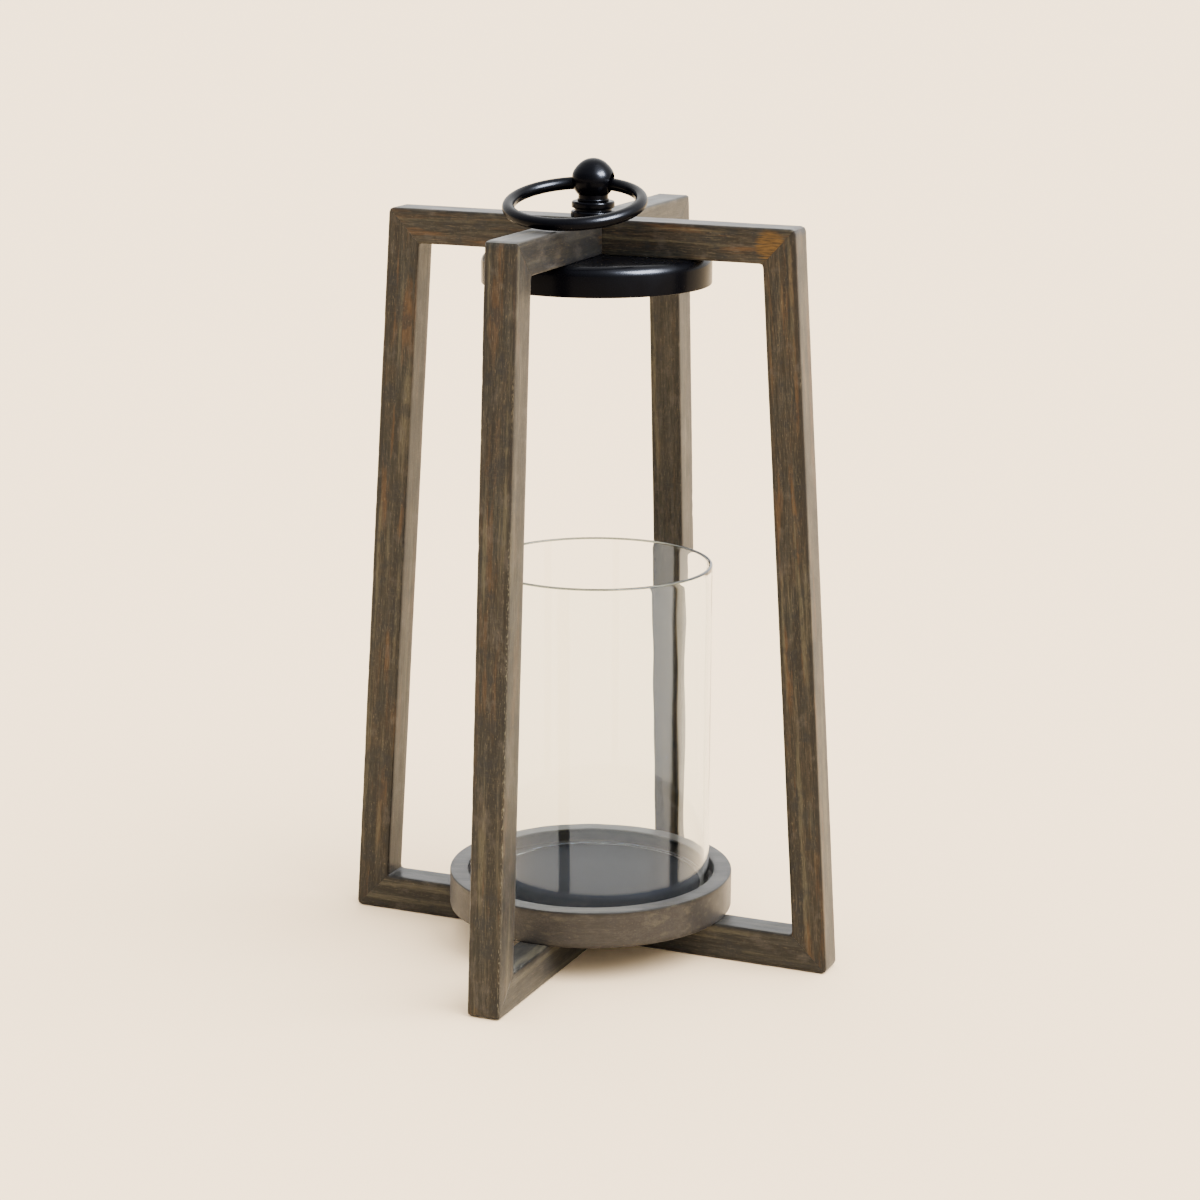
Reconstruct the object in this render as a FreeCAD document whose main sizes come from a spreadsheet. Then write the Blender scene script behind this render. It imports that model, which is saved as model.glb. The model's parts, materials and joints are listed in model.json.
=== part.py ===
import FreeCAD, Part
import os
import Sketcher

# Hanging lantern. Two mitred wooden frames cross at their middles and are half-lapped into each
# other. They carry a turned tray with a loose glass cylinder, a pressed steel heat shield, and a
# ball finial with a ring that swings in it.
#
# Millimetres, +Z up, origin on the floor under the crossing. Frame A stands in the XZ plane and
# frame B in the YZ plane, with its front leg at -Y.

DIMENSIONS = [
    ("frame_height", 470, "floor to the top of the crossed rails"),
    ("foot_width", 333, "outer width of a frame at the floor"),
    ("shoulder_width", 272.5, "outer width of a frame at its top"),
    ("stock_width", 21, "thickness of every leg and rail, across its frame"),
    ("leg_depth", 21.8, "level width of a leg, in its frame's plane"),
    ("top_rail_depth", 22, "height of a top rail"),
    ("bottom_rail_depth", 23, "height of a bottom rail"),
    ("dowel_diameter", 6, "dowel across each mitre"),
    ("dowel_length", 18, "length of a mitre dowel"),
    ("fit_gap", 0.1, "room all round a dowel or a screw in its hole"),
    ("tray_diameter", 183.4, "outside of the turned tray"),
    ("tray_height", 23.2, "underside to rim"),
    ("tray_edge_radius", 1, "eased edges of the tray's rim and foot"),
    ("recess_diameter", 160, "shallow recess that holds the glass"),
    ("recess_depth", 8, "rim down to the recess floor"),
    ("plate_diameter", 138, "loose steel plate that the candle stands on, inside the glass"),
    ("plate_thickness", 1, "candle plate"),
    ("plate_shift_x", 2.4, "where the loose plate lies, off the axis"),
    ("plate_shift_y", 0.3, "where the loose plate lies, off the axis"),
    ("screw_diameter", 4, "wood screw shank"),
    ("screw_head_diameter", 8, "countersunk head"),
    ("screw_head_height", 2.6, "countersunk head"),
    ("screw_head_rim", 0.3, "straight rim of the countersunk head"),
    ("screw_length", 32, "head to tip"),
    ("screw_point_length", 4, "tapered tip"),
    ("screw_sink", 1, "head sunk below the rail's underside"),
    ("tray_screw_radius", 60, "screws from the lantern's axis"),
    ("glass_diameter", 147, "outside of the glass cylinder"),
    ("glass_wall", 2.5, "glass thickness"),
    ("glass_height", 212, "glass cylinder"),
    ("glass_edge_radius", 1, "fire-polished edges"),
    ("glass_shift_x", 3.6, "where the loose glass stands, off the axis"),
    ("glass_shift_y", 0.4, "where the loose glass stands, off the axis"),
    ("shield_diameter", 144, "outside of the heat shield"),
    ("shield_height", 18.7, "mouth to top"),
    ("shield_shoulder_radius", 6, "rounded shoulder of the shield"),
    ("shield_wall", 1.2, "sheet steel"),
    ("shield_hole_diameter", 11, "oversize hole for the stud"),
    ("shield_shift_x", 2.2, "play taken up in the oversize hole"),
    ("shield_shift_y", 0.9, "play taken up in the oversize hole"),
    ("stud_diameter", 6, "threaded rod through the top crossing"),
    ("stud_length", 47, "threaded rod"),
    ("stud_foot", 438, "level of the rod's lower end"),
    ("stud_hole_diameter", 6.4, "hole for the rod in the rails, washer and flange"),
    ("thread_gap", 0.05, "room round the rod in the nut, collar and ball"),
    ("washer_diameter", 24, "washer under the shield"),
    ("washer_thickness", 1.6, "washer under the shield"),
    ("nut_flats", 10, "across the flats of the nut"),
    ("nut_height", 5, "nut under the washer"),
    ("flange_diameter", 27.8, "foot of the finial"),
    ("flange_height", 3.9, "foot of the finial"),
    ("spigot_diameter", 23, "step on the flange that leaves a groove under the collar"),
    ("spigot_height", 1.5, "step on the flange"),
    ("collar_diameter", 26.8, "collar under the ball"),
    ("collar_height", 4.4, "collar under the ball"),
    ("hardware_edge_radius", 1.2, "rounded edges of the flange and collar"),
    ("bead_diameter", 19.8, "bead at the foot of the ball's neck"),
    ("bead_height", 1.5, "bead at the foot of the ball's neck"),
    ("neck_diameter", 18.5, "neck between the bead and the ball"),
    ("ball_diameter", 26.6, "ball of the finial"),
    ("ball_rise", 13.3, "middle of the ball above the collar"),
    ("crown_height", 13.05, "top of the ball above its middle"),
    ("crown_radius", 12.4, "rounded top of the ball, above its 45 degree shoulder"),
    ("crown_blend", 6, "rounding between the ball and its shoulder"),
    ("ball_bore_depth", 5.7, "tapped hole in the foot of the ball"),
    ("ring_diameter", 81, "carry ring, measured between the middles of its rod"),
    ("ring_rod_diameter", 7.8, "rod that the ring is bent from"),
    ("ring_clearance", 0.4, "room round the rod in the ball's cross hole"),
    ("cross_hole_land", 4, "straight stretch in the middle of the cross hole"),
    ("ring_gap", 0.3, "the resting ring's distance from the rail"),
    ("ring_heading", 6.9, "degrees that the cross hole is turned from frame A"),
    ("hinge_height", 490.8, "middle of the cross hole"),
]

THREAD_HOLE = "(sizes.stud_diameter + 2 * sizes.thread_gap)"
FULL_TURN = 360
NUT_SIDES = 6
SAME_SIZE = 0.01
CROSS_HOLE_LEAST_VOLUME = 500
TRAY_SCREW_DIRECTIONS = [(1, 0), (0, 1), (-1, 0), (0, -1)]

os.makedirs("parts", exist_ok=True)
doc = FreeCAD.newDocument("lantern")
sizes = doc.addObject("Spreadsheet::Sheet", "sizes")
for row, (alias, number, meaning) in enumerate(DIMENSIONS, start=1):
    sizes.set(f"A{row}", meaning)
    sizes.set(f"B{row}", str(number))
    sizes.setAlias(f"B{row}", alias)
doc.recompute()

parts = []


# Small tools for sketches and features

def new_body(label):
    body = doc.addObject("PartDesign::Body", label)
    body.Label = label
    parts.append(body)
    return body


def origin_feature(body, role):
    return next(feature for feature in body.Origin.OriginFeatures if feature.Role == role)


def new_sketch(body, name, plane="XZ_Plane", shift_x="0", shift_y="0", turn="0deg"):
    """An empty sketch on one of the body's own planes. Its axes can be shifted and turned."""
    sketch = body.newObject("Sketcher::SketchObject", name)
    sketch.AttachmentSupport = (origin_feature(body, plane), [""])
    sketch.MapMode = "FlatFace"
    sketch.setExpression("AttachmentOffset.Base.x", shift_x)
    sketch.setExpression("AttachmentOffset.Base.y", shift_y)
    sketch.setExpression("AttachmentOffset.Rotation.Angle", turn)
    return sketch


def bind(sketch, kind, elements, expression):
    """Adds one dimension to a sketch and drives it by an expression."""
    index = sketch.addConstraint(Sketcher.Constraint(kind, *elements, sketch.evalExpression(expression)))
    sketch.setExpression(f"Constraints[{index}]", expression)


def draw_outline(sketch, corners):
    """Draws a closed outline. A corner is (x, y), or (x, y, radius) where an arc leaves it that
    has its middle on the left of the way along the outline."""
    first = sketch.GeometryCount
    points = [FreeCAD.Vector(sketch.evalExpression(c[0]), sketch.evalExpression(c[1])) for c in corners]
    for i, corner in enumerate(corners):
        start = points[i]
        end = points[(i + 1) % len(points)]
        if len(corner) == 2:
            sketch.addGeometry(Part.LineSegment(start, end))
            continue
        radius = sketch.evalExpression(corner[2])
        chord = end - start
        left = FreeCAD.Vector(-chord.y, chord.x).normalize()
        reach = (radius ** 2 - (chord.Length / 2) ** 2) ** 0.5
        middle = start + chord * 0.5 + left * reach
        on_arc = middle + (start + chord * 0.5 - middle).normalize() * radius
        sketch.addGeometry(Part.Arc(start, on_arc, end))
    for i, corner in enumerate(corners):
        line = first + i
        following = first + (i + 1) % len(corners)
        sketch.addConstraint(Sketcher.Constraint("Coincident", line, 2, following, 1))
        bind(sketch, "DistanceX", (-1, 1, line, 1), corner[0])
        bind(sketch, "DistanceY", (-1, 1, line, 1), corner[1])
        if len(corner) == 3:
            bind(sketch, "Radius", (line,), corner[2])


def draw_circle(sketch, diameter, x="0", y="0"):
    middle = FreeCAD.Vector(sketch.evalExpression(x), sketch.evalExpression(y))
    normal = FreeCAD.Vector(0, 0, 1)
    index = sketch.addGeometry(Part.Circle(middle, normal, sketch.evalExpression(diameter) / 2))
    bind(sketch, "DistanceX", (-1, 1, index, 3), x)
    bind(sketch, "DistanceY", (-1, 1, index, 3), y)
    bind(sketch, "Diameter", (index,), diameter)


def pad(body, sketch, length, name="pad"):
    feature = body.newObject("PartDesign::Pad", name)
    feature.Profile = sketch
    feature.setExpression("Length", length)
    return feature


def pocket(body, sketch, depth, name, upwards=False):
    feature = body.newObject("PartDesign::Pocket", name)
    feature.Profile = sketch
    feature.setExpression("Length", depth)
    feature.Reversed = upwards
    return feature


def turn(body, kind, sketch, name, axis="V_Axis"):
    """A full Revolution or Groove about one of the sketch's own axes."""
    feature = body.newObject(f"PartDesign::{kind}", name)
    feature.Profile = sketch
    feature.ReferenceAxis = (sketch, [axis])
    feature.Angle = FULL_TURN
    return feature


def mirror(body, originals, name):
    feature = body.newObject("PartDesign::Mirrored", name)
    feature.Originals = originals
    feature.MirrorPlane = (origin_feature(body, "YZ_Plane"), [""])
    body.Tip = feature


def fillet(body, base, radius, wanted, name="eased_edges"):
    """Rounds the edges of a feature that the function wanted picks."""
    doc.recompute()
    edges = [f"Edge{i}" for i, edge in enumerate(base.Shape.Edges, start=1) if wanted(edge)]
    feature = body.newObject("PartDesign::Fillet", name)
    feature.Base = (base, edges)
    feature.setExpression("Radius", radius)
    return feature


def is_circle(edge, diameter, level=None):
    """True for a circular edge of a diameter, at a level of its body where one is given."""
    if edge.Degenerated or not isinstance(edge.Curve, Part.Circle):
        return False
    if abs(edge.Curve.Radius - sizes.evalExpression(diameter) / 2) > SAME_SIZE:
        return False
    return level is None or abs(edge.Curve.Center.z - sizes.evalExpression(level)) < SAME_SIZE


def stand_at(body, level, x="0", y="0"):
    """Places a body whose own origin is at its foot."""
    body.setExpression("Placement.Base.x", x)
    body.setExpression("Placement.Base.y", y)
    body.setExpression("Placement.Base.z", level)


# The two frames. A frame is drawn in the XZ plane, and its pieces are turned about Z.

FLOOR = "0"
FOOT = "sizes.bottom_rail_depth"
HEAD = "(sizes.frame_height - sizes.top_rail_depth)"
TOP = "sizes.frame_height"


def outer(level):
    """Half the frame's outer width at a level."""
    taper = f"(sizes.foot_width - sizes.shoulder_width) * {level} / sizes.frame_height"
    return f"((sizes.foot_width - {taper}) / 2)"


def inner(level):
    """Half the frame's inner width at a level."""
    return f"({outer(level)} - sizes.leg_depth)"


def draw_dowel(body, corner, diameter, name):
    """Half the section of a dowel square across the mitre at the foot or the head of a leg."""
    outer_level, inner_level = {"foot": (FLOOR, FOOT), "head": (TOP, HEAD)}[corner]
    run = f"({outer(outer_level)} - {inner(inner_level)})"
    rise = f"({outer_level} - {inner_level})"
    middle_x = f"({outer(outer_level)} + {inner(inner_level)}) / 2"
    middle_z = f"({outer_level} + {inner_level}) / 2"
    sketch = new_sketch(body, name, "XZ_Plane", middle_x, middle_z, f"atan2({rise}; {run}) + 90deg")
    half_length = f"({diameter} - sizes.dowel_diameter + sizes.dowel_length) / 2"
    corners = [
        (f"-{half_length}", "0"),
        (half_length, "0"),
        (half_length, f"{diameter} / 2"),
        (f"-{half_length}", f"{diameter} / 2"),
    ]
    draw_outline(sketch, corners)
    return sketch


def dowel_hole(body, corner):
    sketch = draw_dowel(body, corner, "(sizes.dowel_diameter + 2 * sizes.fit_gap)", f"{corner}_dowel_section")
    return turn(body, "Groove", sketch, f"{corner}_dowel_hole", "H_Axis")


def draw_screw(body, name, from_axis, gap="0", mouth="0"):
    """Half the section of an upright wood screw, sunk into the underside of a bottom rail. Its
    hole is a gap wider, and open below the head as far as the mouth."""
    sketch = new_sketch(body, name, "XZ_Plane", from_axis, "sizes.screw_sink")
    shank = f"(sizes.screw_diameter / 2 + {gap})"
    head = f"(sizes.screw_head_diameter / 2 + {gap})"
    corners = [
        ("0", mouth),
        (head, mouth),
        (head, "sizes.screw_head_rim"),
        (shank, "sizes.screw_head_height"),
        (shank, "sizes.screw_length - sizes.screw_point_length"),
        ("0", f"sizes.screw_length + {gap}"),
    ]
    draw_outline(sketch, corners)
    return sketch


def screw_hole(body, name, from_axis):
    sketch = draw_screw(body, f"{name}_section", from_axis, "sizes.fit_gap", "-sizes.screw_sink")
    return turn(body, "Groove", sketch, name)


def make_leg(label, heading):
    """A leaning leg, mitred at both ends. Heading 0 is the leg at +X."""
    body = new_body(label)
    sketch = new_sketch(body, "leg_face")
    corners = [
        (outer(FLOOR), FLOOR),
        (outer(TOP), TOP),
        (inner(HEAD), HEAD),
        (inner(FOOT), FOOT),
    ]
    draw_outline(sketch, corners)
    pad(body, sketch, "sizes.stock_width", "leg").SideType = "Symmetric"
    dowel_hole(body, "foot")
    dowel_hole(body, "head")
    body.Placement = FreeCAD.Placement(FreeCAD.Vector(), FreeCAD.Rotation(heading, 0, 0))


def make_rail(label, heading, corner, lap):
    """A rail with a mitre at each end and half a lap in the middle, cut from above or below."""
    body = new_body(label)
    outer_level, inner_level = {"foot": (FLOOR, FOOT), "head": (TOP, HEAD)}[corner]
    sketch = new_sketch(body, "rail_face")
    corners = [
        (f"-{outer(outer_level)}", outer_level),
        (outer(outer_level), outer_level),
        (inner(inner_level), inner_level),
        (f"-{inner(inner_level)}", inner_level),
    ]
    draw_outline(sketch, corners)
    pad(body, sketch, "sizes.stock_width", "rail").SideType = "Symmetric"
    low, high = (FLOOR, FOOT) if corner == "foot" else (HEAD, TOP)
    middle = f"(({low} + {high}) / 2)"
    notch_low, notch_high = (low, middle) if lap == "from_below" else (middle, high)
    notch = new_sketch(body, "lap_face")
    half_width = "sizes.stock_width / 2"
    corners = [
        (f"-{half_width}", notch_low),
        (half_width, notch_low),
        (half_width, notch_high),
        (f"-{half_width}", notch_high),
    ]
    draw_outline(notch, corners)
    pocket(body, notch, "2 * sizes.stock_width", "half_lap").SideType = "Symmetric"
    if corner == "foot":
        screw_hole(body, "lap_screw_hole", "0")
        mirrored = [dowel_hole(body, corner), screw_hole(body, "tray_screw_hole", "sizes.tray_screw_radius")]
    else:
        section = new_sketch(body, "stud_hole_section", "XY_Plane")
        draw_circle(section, "sizes.stud_hole_diameter")
        pocket(body, section, "sizes.frame_height", "stud_hole", upwards=True)
        mirrored = [dowel_hole(body, corner)]
    mirror(body, mirrored, "other_end")
    body.Placement = FreeCAD.Placement(FreeCAD.Vector(), FreeCAD.Rotation(heading, 0, 0))


def make_mitre_dowels(label, heading):
    """The four dowels of one frame."""
    body = new_body(label)
    dowels = []
    for corner in ("foot", "head"):
        sketch = draw_dowel(body, corner, "sizes.dowel_diameter", f"{corner}_dowel_section")
        dowels.append(turn(body, "Revolution", sketch, f"{corner}_dowel", "H_Axis"))
    mirror(body, dowels, "other_side")
    body.Placement = FreeCAD.Placement(FreeCAD.Vector(), FreeCAD.Rotation(heading, 0, 0))


make_leg("frame_a_right_leg", 0)
make_leg("frame_b_back_leg", 90)
make_leg("frame_a_left_leg", 180)
make_leg("frame_b_front_leg", 270)
make_rail("frame_a_bottom_rail", 0, "foot", "from_above")
make_rail("frame_b_bottom_rail", 90, "foot", "from_below")
make_rail("frame_a_top_rail", 0, "head", "from_below")
make_rail("frame_b_top_rail", 90, "head", "from_above")
make_mitre_dowels("frame_a_mitre_dowels", 0)
make_mitre_dowels("frame_b_mitre_dowels", 90)


# The tray, its screws and what stands in it

def make_tray():
    """A turned dish with a shallow recess, screwed down from below."""
    body = new_body("tray")
    blank = new_sketch(body, "blank_circle", "XY_Plane")
    draw_circle(blank, "sizes.tray_diameter")
    pad(body, blank, "sizes.tray_height", "blank")
    recess = new_sketch(body, "recess_circle", "XY_Plane")
    recess.setExpression("AttachmentOffset.Base.z", "sizes.tray_height")
    draw_circle(recess, "sizes.recess_diameter")
    dish = pocket(body, recess, "sizes.recess_depth", "recess")
    outside = "sizes.tray_diameter"
    mouth = "sizes.recess_diameter"
    fillet(
        body,
        dish,
        "sizes.tray_edge_radius",
        lambda edge: is_circle(edge, outside) or is_circle(edge, mouth, "sizes.tray_height"),
    )
    pilots = new_sketch(body, "pilot_circles", "XY_Plane")
    pilot_diameter = "sizes.screw_diameter + 2 * sizes.fit_gap"
    draw_circle(pilots, pilot_diameter)
    out = "sizes.tray_screw_radius"
    for x, y in TRAY_SCREW_DIRECTIONS:
        draw_circle(pilots, pilot_diameter, f"{x} * {out}", f"{y} * {out}")
    depth = "sizes.screw_sink + sizes.screw_length - sizes.bottom_rail_depth + sizes.fit_gap"
    pocket(body, pilots, depth, "pilot_holes", upwards=True)
    stand_at(body, FOOT)


def make_screws():
    """Four screws in a ring up into the tray, and one through the middle of the crossing."""
    body = new_body("tray_screws")
    section = draw_screw(body, "screw_section", "sizes.tray_screw_radius")
    screw = turn(body, "Revolution", section, "screw")
    ring = body.newObject("PartDesign::PolarPattern", "screws")
    ring.Originals = [screw]
    ring.Axis = (origin_feature(body, "Z_Axis"), [""])
    ring.Angle = FULL_TURN
    ring.Occurrences = len(TRAY_SCREW_DIRECTIONS)
    body.Tip = ring
    body = new_body("lap_screw")
    section = draw_screw(body, "lap_screw_section", "0")
    turn(body, "Revolution", section, "lap_screw_turned")


RECESS_FLOOR = "sizes.bottom_rail_depth + sizes.tray_height - sizes.recess_depth"


def make_candle_plate():
    """A loose disc inside the glass."""
    body = new_body("candle_plate")
    sketch = new_sketch(body, "plate_circle", "XY_Plane")
    draw_circle(sketch, "sizes.plate_diameter")
    pad(body, sketch, "sizes.plate_thickness", "plate")
    stand_at(body, RECESS_FLOOR, "sizes.plate_shift_x", "sizes.plate_shift_y")


def make_glass():
    """An open tube that stands loose in the tray's recess."""
    body = new_body("glass_cylinder")
    sketch = new_sketch(body, "glass_circles", "XY_Plane")
    draw_circle(sketch, "sizes.glass_diameter")
    draw_circle(sketch, "sizes.glass_diameter - 2 * sizes.glass_wall")
    tube = pad(body, sketch, "sizes.glass_height", "tube")
    fillet(body, tube, "sizes.glass_edge_radius", lambda edge: isinstance(edge.Curve, Part.Circle))
    stand_at(body, RECESS_FLOOR, "sizes.glass_shift_x", "sizes.glass_shift_y")


make_tray()
make_screws()
make_candle_plate()
make_glass()


# The heat shield and the stud, washer and nut that hold it up

def make_heat_shield():
    """A flat-topped cap pressed from sheet, open below, with an oversize hole for the stud."""
    body = new_body("heat_shield")
    sketch = new_sketch(body, "shield_circle", "XY_Plane")
    draw_circle(sketch, "sizes.shield_diameter")
    block = pad(body, sketch, "sizes.shield_height", "form")
    top = "sizes.shield_height"
    rounded = fillet(
        body,
        block,
        "sizes.shield_shoulder_radius",
        lambda edge: is_circle(edge, "sizes.shield_diameter", top),
        "shoulder",
    )
    doc.recompute()
    faces = rounded.Shape.Faces
    mouth = min(range(len(faces)), key=lambda i: faces[i].CenterOfMass.z)
    shell = body.newObject("PartDesign::Thickness", "sheet")
    shell.Base = (rounded, [f"Face{mouth + 1}"])
    shell.setExpression("Value", "sizes.shield_wall")
    shell.Reversed = True
    hole = new_sketch(body, "hole_circle", "XY_Plane")
    draw_circle(hole, "sizes.shield_hole_diameter")
    pocket(body, hole, "sizes.shield_height", "stud_hole", upwards=True)
    stand_at(body, f"{HEAD} - sizes.shield_height", "sizes.shield_shift_x", "sizes.shield_shift_y")


def make_threaded_rod():
    """The stud, drawn plain at its outside diameter."""
    body = new_body("threaded_rod")
    sketch = new_sketch(body, "rod_circle", "XY_Plane")
    draw_circle(sketch, "sizes.stud_diameter")
    pad(body, sketch, "sizes.stud_length", "rod")
    stand_at(body, "sizes.stud_foot")


def make_washer():
    body = new_body("shield_washer")
    sketch = new_sketch(body, "washer_circles", "XY_Plane")
    draw_circle(sketch, "sizes.washer_diameter")
    draw_circle(sketch, "sizes.stud_hole_diameter")
    pad(body, sketch, "sizes.washer_thickness", "washer")
    stand_at(body, f"{HEAD} - sizes.shield_wall - sizes.washer_thickness")


def make_nut():
    body = new_body("shield_nut")
    sketch = new_sketch(body, "nut_face", "XY_Plane")
    reach = "sizes.nut_flats / sqrt(3)"
    headings = [f"{FULL_TURN / NUT_SIDES * i}deg" for i in range(NUT_SIDES)]
    corners = [(f"{reach} * cos({heading})", f"{reach} * sin({heading})") for heading in headings]
    draw_outline(sketch, corners)
    draw_circle(sketch, THREAD_HOLE)
    pad(body, sketch, "sizes.nut_height", "nut")
    stand_at(body, f"{HEAD} - sizes.shield_wall - sizes.washer_thickness - sizes.nut_height")


make_heat_shield()
make_threaded_rod()
make_washer()
make_nut()


# The finial on top of the crossing, and its ring

COLLAR_FOOT = "sizes.frame_height + sizes.flange_height + sizes.spigot_height"
BALL_FOOT = f"({COLLAR_FOOT} + sizes.collar_height)"


def make_flange():
    """The finial's foot, with a narrower step that leaves a groove under the collar."""
    body = new_body("finial_base_flange")
    sketch = new_sketch(body, "flange_section")
    bore = "sizes.stud_hole_diameter / 2"
    rim = "sizes.flange_diameter / 2"
    step = "sizes.spigot_diameter / 2"
    top = "sizes.flange_height + sizes.spigot_height"
    corners = [
        (bore, "0"),
        (rim, "0"),
        (rim, "sizes.flange_height"),
        (step, "sizes.flange_height"),
        (step, top),
        (bore, top),
    ]
    draw_outline(sketch, corners)
    turned = turn(body, "Revolution", sketch, "turned")
    diameter = "sizes.flange_diameter"
    level = "sizes.flange_height"
    fillet(body, turned, "sizes.hardware_edge_radius", lambda edge: is_circle(edge, diameter, level))
    stand_at(body, TOP)


def make_collar():
    body = new_body("finial_collar")
    sketch = new_sketch(body, "collar_circles", "XY_Plane")
    draw_circle(sketch, "sizes.collar_diameter")
    draw_circle(sketch, THREAD_HOLE)
    blank = pad(body, sketch, "sizes.collar_height", "collar")
    diameter = "sizes.collar_diameter"
    fillet(body, blank, "sizes.hardware_edge_radius", lambda edge: is_circle(edge, diameter))
    stand_at(body, COLLAR_FOOT)


def make_ball():
    """A ball on a short neck. Above its widest line it leans in at 45 degrees to a rounded crown.
    The ring's cross hole widens to both sides by the ring's own curve, so the ring clears it at
    every angle."""
    body = new_body("finial_ball")
    radius = "(sizes.ball_diameter / 2)"
    neck = "(sizes.neck_diameter / 2)"
    crown = "sizes.crown_radius"
    lean = f"(sizes.crown_height + (sqrt(2) - 1) * {crown})"
    lean_foot_x = f"({lean} / 2 + sqrt({radius}^2 / 2 - {lean}^2 / 4))"
    lean_head_x = f"({crown} / sqrt(2))"
    corners = [
        ("0", "0"),
        ("sizes.bead_diameter / 2", "0"),
        ("sizes.bead_diameter / 2", "sizes.bead_height"),
        (neck, "sizes.bead_height"),
        (neck, f"sizes.ball_rise - sqrt({radius}^2 - {neck}^2)", radius),
        (lean_foot_x, f"sizes.ball_rise + {lean} - {lean_foot_x}"),
        (lean_head_x, f"sizes.ball_rise + {lean} - {lean_head_x}", crown),
        ("0", "sizes.ball_rise + sizes.crown_height"),
    ]
    sketch = new_sketch(body, "ball_section")
    draw_outline(sketch, corners)
    turned = turn(body, "Revolution", sketch, "turned")
    diameter = f"(2 * {lean_foot_x})"
    blended = fillet(body, turned, "sizes.crown_blend", lambda edge: is_circle(edge, diameter), "blend")
    bore = new_sketch(body, "bore_circle", "XY_Plane")
    draw_circle(bore, THREAD_HOLE)
    pocket(body, bore, "sizes.ball_bore_depth", "tapped_hole", upwards=True)
    hinge = f"sizes.hinge_height - {BALL_FOOT}"
    section = new_sketch(body, "cross_hole_section", "XZ_Plane", "0", hinge)
    flare = "(sizes.ring_diameter / 2 - sizes.ring_rod_diameter / 2 - sizes.ring_clearance)"
    land = "(sizes.cross_hole_land / 2)"
    mouth = f"(sizes.ring_diameter / 2 - sqrt({flare}^2 - {radius}^2))"
    throat = f"(sizes.ring_diameter / 2 - sqrt({flare}^2 - {land}^2))"
    corners = [
        (f"-{radius}", "0"),
        (f"-{radius}", mouth, flare),
        (f"-{land}", throat),
        (land, throat, flare),
        (radius, mouth),
        (radius, "0"),
    ]
    draw_outline(section, corners)
    turn(body, "Groove", section, "cross_hole", "H_Axis")
    stand_at(body, BALL_FOOT)
    body.setExpression("Placement.Rotation.Angle", "sizes.ring_heading * 1deg")
    doc.recompute()
    if body.Shape.Volume > blended.Shape.Volume - CROSS_HOLE_LEAST_VOLUME:
        raise SystemExit("the ball's cross hole was not cut")


def make_ring():
    """The carry ring. Its body's origin is where its rod passes through the ball."""
    body = new_body("carry_ring")
    sketch = new_sketch(body, "rod_circle", "YZ_Plane", "-sizes.ring_diameter / 2")
    draw_circle(sketch, "sizes.ring_rod_diameter", "sizes.ring_diameter / 2")
    turn(body, "Revolution", sketch, "ring")
    drop = "(sizes.hinge_height - sizes.frame_height - sizes.ring_rod_diameter / 2 - sizes.ring_gap)"
    tilt = f"asin({drop} / sizes.ring_diameter)"
    place = "create(<<vector>>; 0; 0; sizes.hinge_height)"
    rotation = f"create(<<rotation>>; sizes.ring_heading * 1deg; 0deg; {tilt})"
    body.setExpression("Placement", f"create(<<placement>>; {place}; {rotation})")


make_flange()
make_collar()
make_ball()
make_ring()


# Check every object, then write one file for each piece

doc.recompute()
for item in doc.Objects:
    if "Invalid" in item.State or "Error" in item.State:
        raise SystemExit(f"{item.Label}: {item.State}")
for body in parts:
    if body.Shape.isNull() or not body.Shape.isValid():
        raise SystemExit(f"{body.Label} has no valid shape")
for body in parts:
    body.Shape.exportStep(f"parts/{body.Label}.step")
    print(f"{body.Label}: {len(body.Shape.Solids)} solids, {body.Shape.Volume / 1000:.2f} cm3")
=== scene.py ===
import json
import math

import bmesh
import bpy
from mathutils import Matrix, Vector, noise


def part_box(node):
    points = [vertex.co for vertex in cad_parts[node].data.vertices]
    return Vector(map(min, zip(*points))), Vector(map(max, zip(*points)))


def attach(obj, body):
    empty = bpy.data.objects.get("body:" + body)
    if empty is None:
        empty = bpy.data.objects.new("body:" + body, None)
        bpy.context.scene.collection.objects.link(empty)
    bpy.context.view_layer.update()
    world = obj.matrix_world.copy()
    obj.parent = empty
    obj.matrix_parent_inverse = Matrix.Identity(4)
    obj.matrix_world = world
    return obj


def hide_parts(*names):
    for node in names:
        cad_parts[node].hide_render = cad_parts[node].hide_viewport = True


# A hanging lantern: two crossed frames of dark stained hardwood, a turned tray, a clear glass
# cylinder, and black enamelled hardware. Metres, in the same frame as the CAD model.

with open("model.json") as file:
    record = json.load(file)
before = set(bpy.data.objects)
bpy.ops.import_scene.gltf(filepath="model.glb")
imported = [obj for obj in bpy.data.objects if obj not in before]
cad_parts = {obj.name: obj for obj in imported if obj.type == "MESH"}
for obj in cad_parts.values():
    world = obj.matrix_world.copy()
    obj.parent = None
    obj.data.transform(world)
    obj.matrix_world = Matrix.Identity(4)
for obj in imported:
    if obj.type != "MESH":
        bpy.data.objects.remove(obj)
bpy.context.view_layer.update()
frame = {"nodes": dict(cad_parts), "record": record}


def mm(number):
    return number / 1000


def colour(code):
    """An sRGB hex colour as linear red, green, blue and alpha."""
    channels = [int(code[i:i + 2], 16) / 255 for i in (1, 3, 5)]
    linear = [c / 12.92 if c <= 0.04045 else ((c + 0.055) / 1.055) ** 2.4 for c in channels]
    return (*linear, 1)


# Materials

# A colour Mix node's two colour inputs and its colour output.
COLOUR_A = 6
COLOUR_B = 7
COLOUR_OUT = 2

# What each point of the wood stores beside its grain: millimetres from an arris, how bare it is
# rubbed, how chalky its scuffs are, and how warm the whole piece is.
WEAR_VALUES = ("arris", "bare", "scuff", "tone")


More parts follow.
